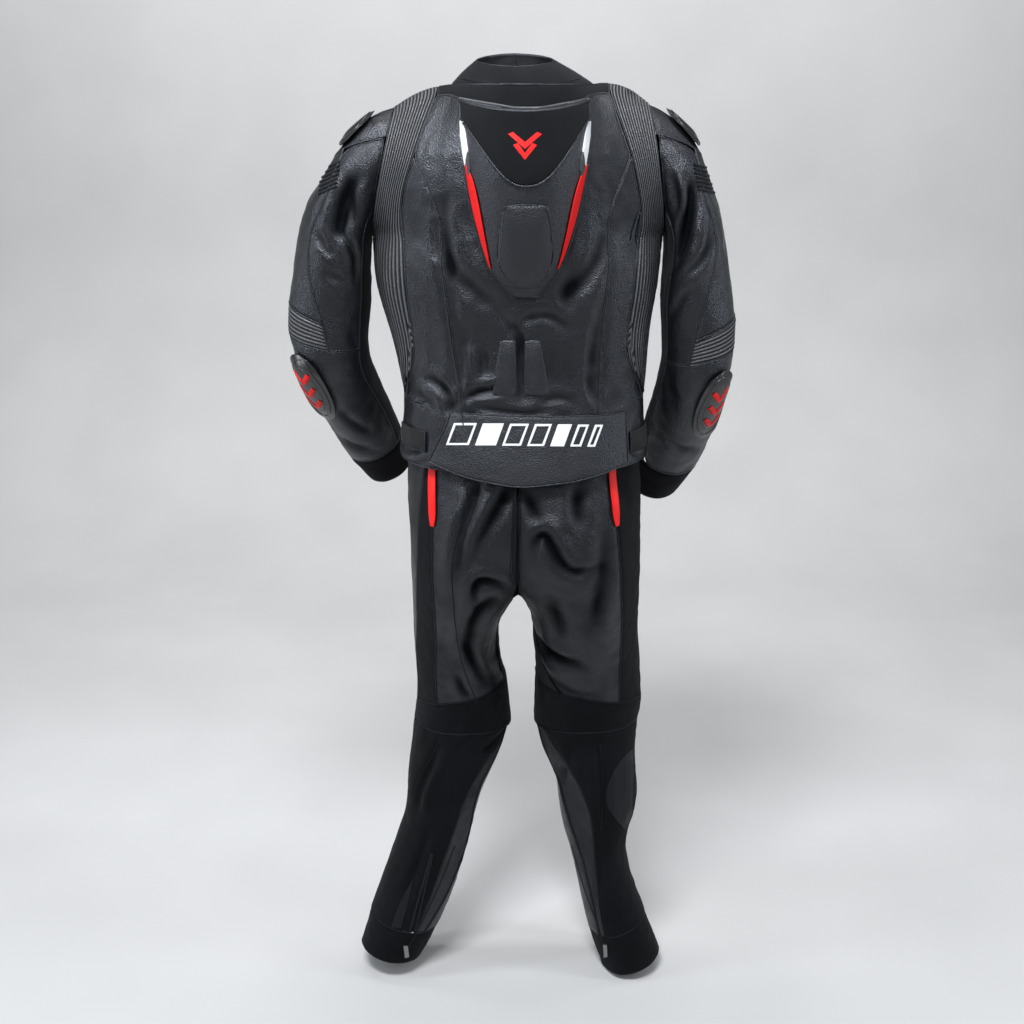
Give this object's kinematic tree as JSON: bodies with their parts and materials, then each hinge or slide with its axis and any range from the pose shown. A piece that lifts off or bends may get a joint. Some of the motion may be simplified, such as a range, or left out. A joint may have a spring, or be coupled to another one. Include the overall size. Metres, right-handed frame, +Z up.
{
  "type": "motorcycle race suit",
  "caption": "Two-piece leather motorcycle race suit filled out as if worn, with aero hump, accordion stretch panels, elbow and shoulder sliders and red accents",
  "frame": {"origin": "the middle of the neck opening, where the wearer's neck holds the suit", "axes": "+Z up along the suit, +Y the way the wearer faces, +X to the side seen on the right from behind (the wearer's right)"},
  "size_m": [0.6563, 0.3395, 1.4765],
  "materials": {
    "black_leather": "grained black cowhide with a soft bluish sheen",
    "stretch_fabric": "matt black stretch fabric and neoprene",
    "ribbed_leather": "black accordion leather sewn in narrow ridges",
    "red_leather": "fluorescent red smooth leather",
    "hard_plastic": "moulded black slider plastic",
    "dark_metal": "dark nickel-plated zip slider and pull"
  },
  "bodies": {
    "suit": {"accordion_L": "ribbed_leather", "accordion_R": "ribbed_leather", "ankle_L": "stretch_fabric", "ankle_R": "stretch_fabric", "back_centre": "black_leather", "back_side_L": "black_leather", "back_side_R": "black_leather", "calf_L": "stretch_fabric", "calf_R": "stretch_fabric", "calf_leather_L": "black_leather", "calf_leather_R": "black_leather", "collar_back": "stretch_fabric", "collar_front_L": "black_leather", "collar_front_R": "black_leather", "cuff_L": "stretch_fabric", "cuff_R": "stretch_fabric", "elbow_ribs_L": "ribbed_leather", "elbow_ribs_R": "ribbed_leather", "elbow_slider_L": "hard_plastic", "elbow_slider_R": "hard_plastic", "forearm_L": "black_leather", "forearm_R": "black_leather", "front_L": "black_leather", "front_R": "black_leather", "hip_accent_L": "red_leather", "hip_accent_R": "red_leather", "hump_pad": "black_leather", "hump_red_L": "red_leather", "hump_red_R": "red_leather", "hump_shell": "black_leather", "hump_top": "stretch_fabric", "inner_thigh_L": "stretch_fabric", "inner_thigh_R": "stretch_fabric", "knee_band_L": "stretch_fabric", "knee_band_R": "stretch_fabric", "leg_front_L": "black_leather", "leg_front_R": "black_leather", "leg_side_L": "stretch_fabric", "leg_side_R": "stretch_fabric", "lumbar_flap": "black_leather", "lumbar_pad_L": "black_leather", "lumbar_pad_R": "black_leather", "main_zip": "stretch_fabric", "main_zip_slider": "dark_metal", "neck_yoke": "stretch_fabric", "seat_L": "black_leather", "seat_R": "black_leather", "shoulder_slider_L": "hard_plastic", "shoulder_slider_R": "hard_plastic", "sleeve_back_L": "black_leather", "sleeve_back_R": "black_leather", "sleeve_cap_L": "black_leather", "sleeve_cap_R": "black_leather", "sleeve_inner_L": "stretch_fabric", "sleeve_inner_R": "stretch_fabric", "sleeve_outer_L": "black_leather", "sleeve_outer_R": "black_leather", "waist_tab_L": "stretch_fabric", "waist_tab_R": "stretch_fabric"},
    "zip_pull": {"main_zip_pull": "dark_metal"}
  },
  "joints": [
    {"name": "zip_pull_hinge", "type": "hinge", "parent": "suit", "child": "zip_pull", "pos_m": [0.00629, 0.09975, -0.06346], "axis": [1, 0, 0], "range_deg": [0, 150]}
  ]
}
